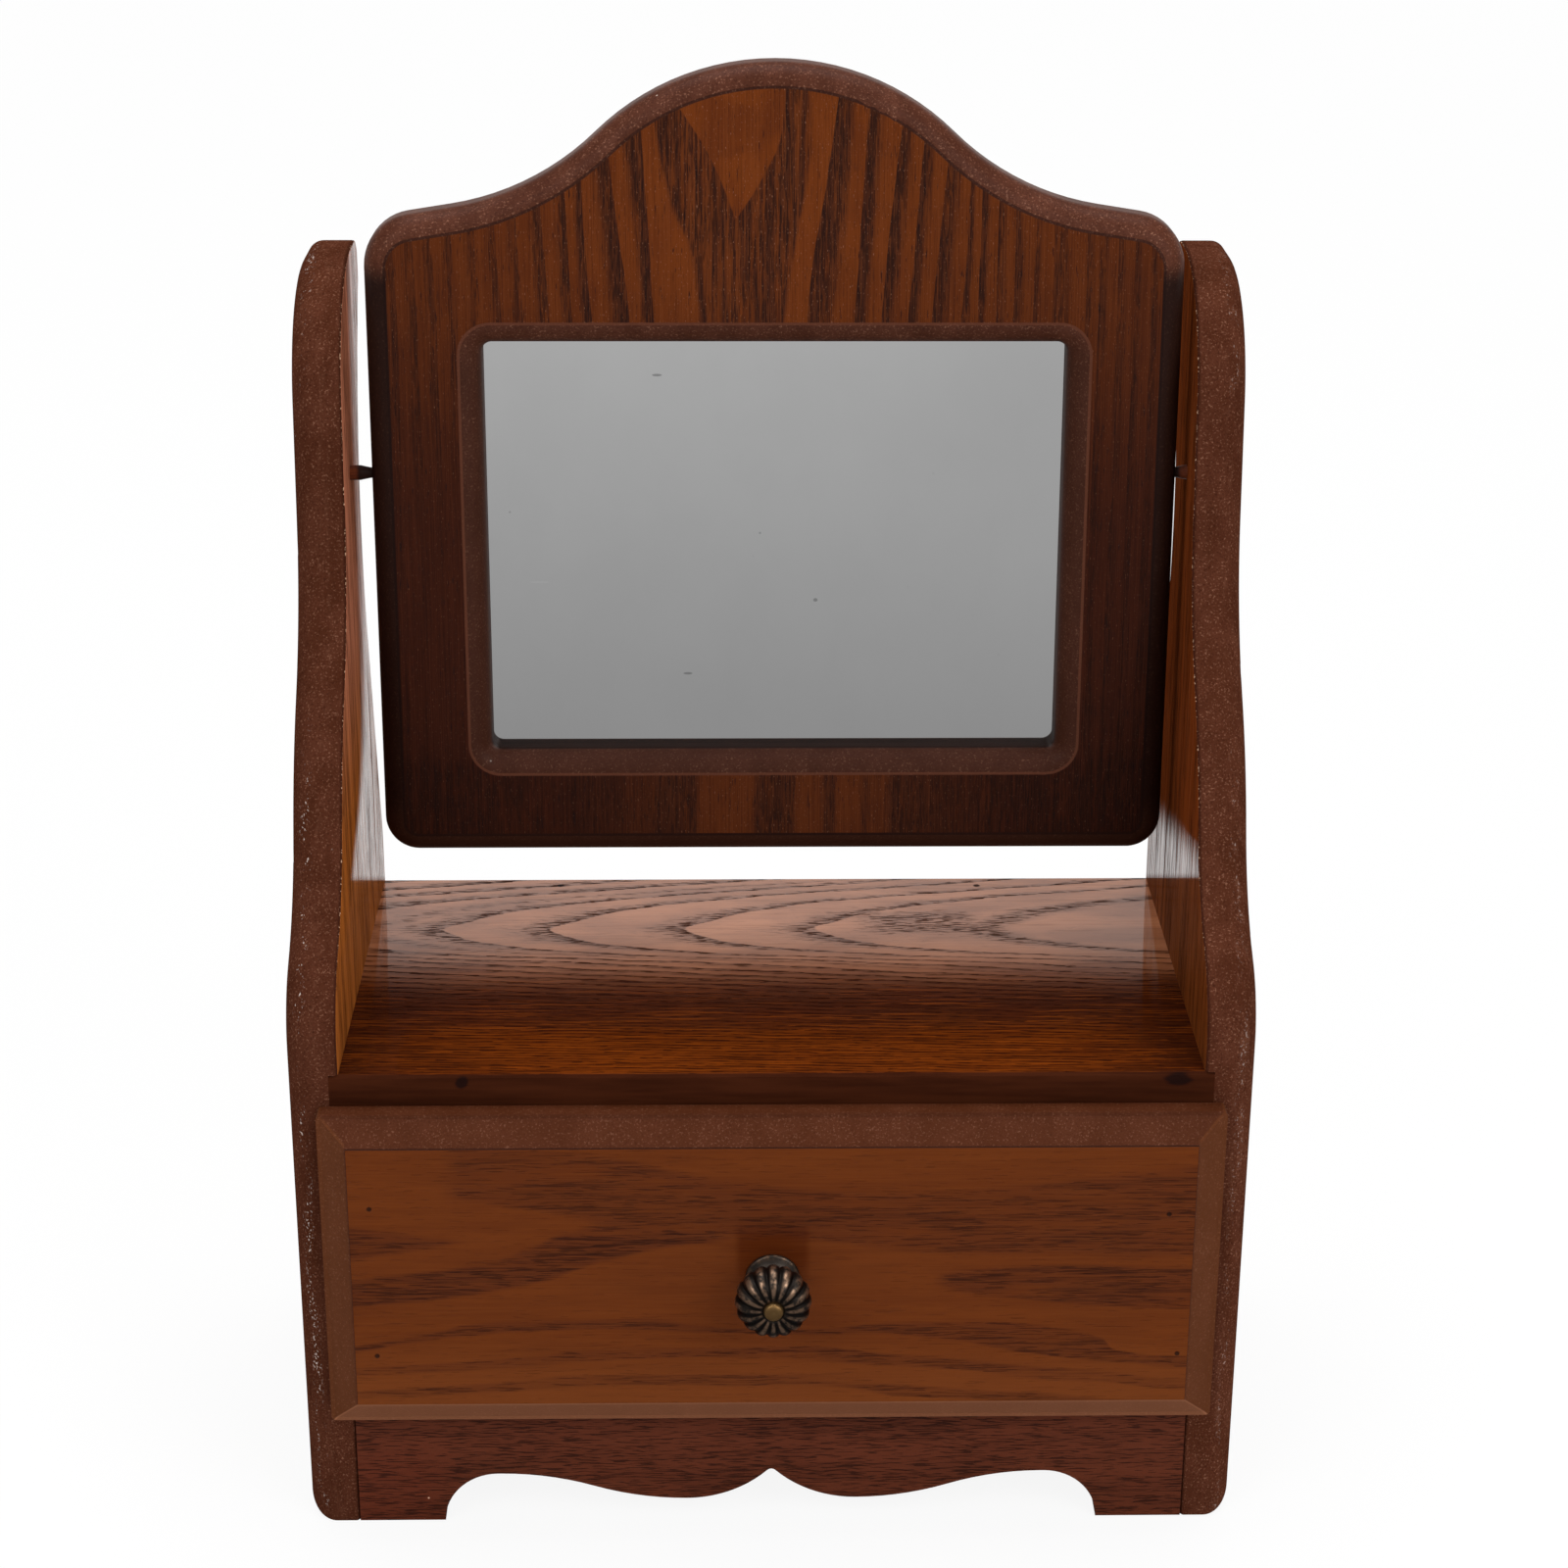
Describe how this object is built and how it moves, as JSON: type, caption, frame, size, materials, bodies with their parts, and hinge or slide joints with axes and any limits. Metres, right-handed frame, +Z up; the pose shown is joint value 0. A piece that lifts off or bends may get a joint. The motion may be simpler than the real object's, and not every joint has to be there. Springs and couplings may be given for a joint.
{
  "type": "makeup mirror with drawer",
  "caption": "Tabletop makeup mirror: an arched mirror tilts on pins between side panels with S-shaped fronts, above a shelf and a case with a drawer.",
  "frame": {"origin": "on the table, under the middle of the whole object, knob included", "axes": "+X to the right as seen from the front, +Y to the back, +Z up; the drawer opens along -Y"},
  "size_m": [0.24, 0.1484, 0.3621],
  "materials": {
    "veneered_board": "red-brown stained wood veneer on fibreboard, gloss varnish",
    "plain_board": "plain unvarnished board",
    "hardboard": "smooth brown hardboard",
    "dowel": "stained dowel",
    "mirror_glass": "silvered glass",
    "antique_bronze": "cast, blackened bronze with rubbed ribs",
    "steel": "plain steel wire and screws"
  },
  "bodies": {
    "case": {"side_panel_left": "veneered_board", "side_panel_right": "veneered_board", "shelf_board": "veneered_board", "floor_board": "plain_board", "back_board": "plain_board", "front_apron": "veneered_board", "pivot_pins": "dowel", "case_brads": "steel", "shelf_brads": "steel"},
    "drawer": {"drawer_front": "veneered_board", "drawer_side_left": "plain_board", "drawer_side_right": "plain_board", "drawer_back": "plain_board", "drawer_bottom": "hardboard", "drawer_knob": "antique_bronze", "knob_screw": "steel", "drawer_front_brads": "steel", "drawer_back_brads": "steel"},
    "mirror": {"mirror_frame": "veneered_board", "mirror_glass": "mirror_glass", "mirror_backing": "hardboard", "backing_screws": "steel"}
  },
  "joints": [
    {"name": "drawer_slide", "type": "slide", "parent": "case", "child": "drawer", "axis": [0, -1, 0], "range_m": [0, 0.085]},
    {"name": "mirror_tilt", "type": "hinge", "parent": "case", "child": "mirror", "pos_m": [0, 0.03715, 0.2587], "axis": [1, 0, 0], "continuous": true}
  ]
}
